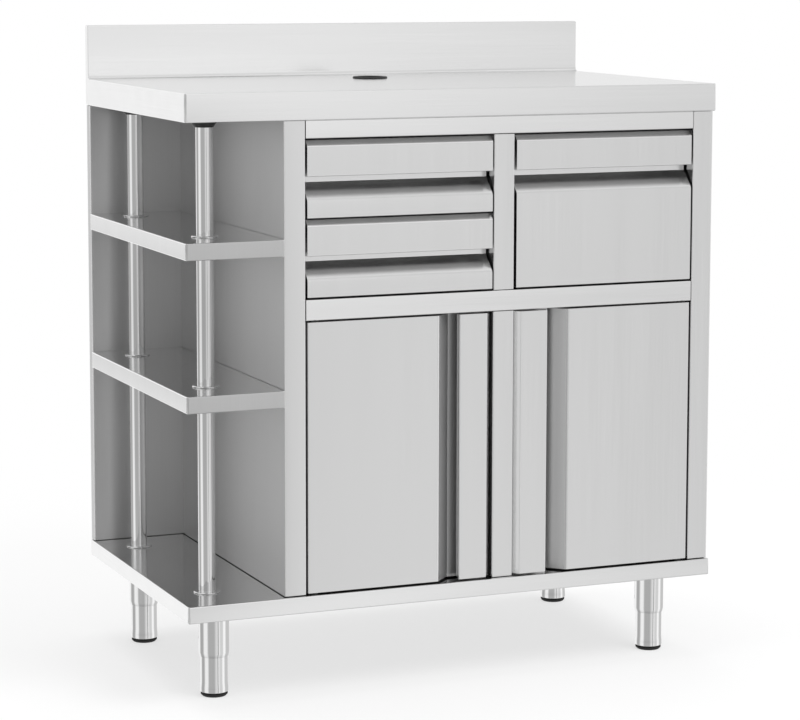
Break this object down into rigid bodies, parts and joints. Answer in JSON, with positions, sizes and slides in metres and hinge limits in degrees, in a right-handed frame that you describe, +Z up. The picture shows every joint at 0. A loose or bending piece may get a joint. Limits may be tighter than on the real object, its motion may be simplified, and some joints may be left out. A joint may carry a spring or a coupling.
{
  "type": "waiter service station",
  "caption": "Stainless-steel waiter station: worktop with upstand and cable hole, open side bay with shelves on round posts, drawers over hinged doors, adjustable legs.",
  "frame": {"origin": "on the floor under the centre of the worktop's outline", "axes": "+Z up, front with doors and drawers towards -Y, open shelf bay towards -X"},
  "size_m": [1.02, 0.6, 1.17],
  "materials": {
    "satin_steel": "satin",
    "bright_steel": "bright annealed",
    "tube_steel": "polished tube",
    "inner_steel": "mill",
    "black_plastic": "moulded",
    "rubber": "matt"
  },
  "bodies": {
    "cabinet": {"worktop": "satin_steel", "cable_grommet": "black_plastic", "back_panel": "bright_steel", "base_shelf": "satin_steel", "left_side_panel": "satin_steel", "right_side_panel": "satin_steel", "drawer_divider": "satin_steel", "lower_centre_post": "satin_steel", "top_rail": "satin_steel", "middle_rail": "satin_steel", "upper_shelf": "bright_steel", "lower_shelf": "bright_steel", "front_post": "tube_steel", "rear_post": "tube_steel", "front_post_bush": "black_plastic", "rear_post_bush": "black_plastic", "front_collar_base": "tube_steel", "front_collar_lower_shelf": "tube_steel", "front_collar_upper_shelf": "tube_steel", "rear_collar_base": "tube_steel", "rear_collar_lower_shelf": "tube_steel", "rear_collar_upper_shelf": "tube_steel", "front_left_leg_sleeve": "tube_steel", "front_right_leg_sleeve": "tube_steel", "rear_left_leg_sleeve": "tube_steel", "rear_right_leg_sleeve": "tube_steel", "left_door_lower_pin": "tube_steel", "left_door_upper_pin": "tube_steel", "right_door_lower_pin": "tube_steel", "right_door_upper_pin": "tube_steel", "upper_left_runner_left": "inner_steel", "upper_left_runner_right": "inner_steel", "lower_left_runner_left": "inner_steel", "lower_left_runner_right": "inner_steel", "right_runner_left": "inner_steel", "right_runner_right": "inner_steel"},
    "left_door": {"left_door_front": "satin_steel", "left_door_liner": "inner_steel"},
    "right_door": {"right_door_front": "satin_steel", "right_door_liner": "inner_steel"},
    "upper_left_drawer": {"upper_left_drawer_front": "satin_steel", "upper_left_drawer_box": "inner_steel", "upper_left_slide_left": "inner_steel", "upper_left_slide_right": "inner_steel"},
    "lower_left_drawer": {"lower_left_drawer_front": "satin_steel", "lower_left_drawer_box": "inner_steel", "lower_left_slide_left": "inner_steel", "lower_left_slide_right": "inner_steel"},
    "right_drawer": {"right_drawer_front": "satin_steel", "right_drawer_box": "inner_steel", "right_slide_left": "inner_steel", "right_slide_right": "inner_steel"},
    "front_left_foot": {"front_left_foot_tube": "tube_steel", "front_left_foot_pad": "rubber"},
    "front_right_foot": {"front_right_foot_tube": "tube_steel", "front_right_foot_pad": "rubber"},
    "rear_left_foot": {"rear_left_foot_tube": "tube_steel", "rear_left_foot_pad": "rubber"},
    "rear_right_foot": {"rear_right_foot_tube": "tube_steel", "rear_right_foot_pad": "rubber"}
  },
  "joints": [
    {"name": "left_door_hinge", "type": "hinge", "parent": "cabinet", "child": "left_door", "pos_m": [-0.2725, -0.284, 0.428], "axis": [0, 0, -1], "range_deg": [0, 110]},
    {"name": "right_door_hinge", "type": "hinge", "parent": "cabinet", "child": "right_door", "pos_m": [0.4505, -0.284, 0.428], "axis": [0, 0, 1], "range_deg": [0, 110]},
    {"name": "upper_left_drawer_slide", "type": "slide", "parent": "cabinet", "child": "upper_left_drawer", "axis": [0, -1, 0], "range_m": [0, 0.38]},
    {"name": "lower_left_drawer_slide", "type": "slide", "parent": "cabinet", "child": "lower_left_drawer", "axis": [0, -1, 0], "range_m": [0, 0.38]},
    {"name": "right_drawer_slide", "type": "slide", "parent": "cabinet", "child": "right_drawer", "axis": [0, -1, 0], "range_m": [0, 0.38]},
    {"name": "front_left_foot_screw", "type": "slide", "parent": "cabinet", "child": "front_left_foot", "axis": [0, 0, 1], "range_m": [-0.02, 0.045]},
    {"name": "front_right_foot_screw", "type": "slide", "parent": "cabinet", "child": "front_right_foot", "axis": [0, 0, 1], "range_m": [-0.02, 0.045]},
    {"name": "rear_left_foot_screw", "type": "slide", "parent": "cabinet", "child": "rear_left_foot", "axis": [0, 0, 1], "range_m": [-0.02, 0.045]},
    {"name": "rear_right_foot_screw", "type": "slide", "parent": "cabinet", "child": "rear_right_foot", "axis": [0, 0, 1], "range_m": [-0.02, 0.045]}
  ]
}
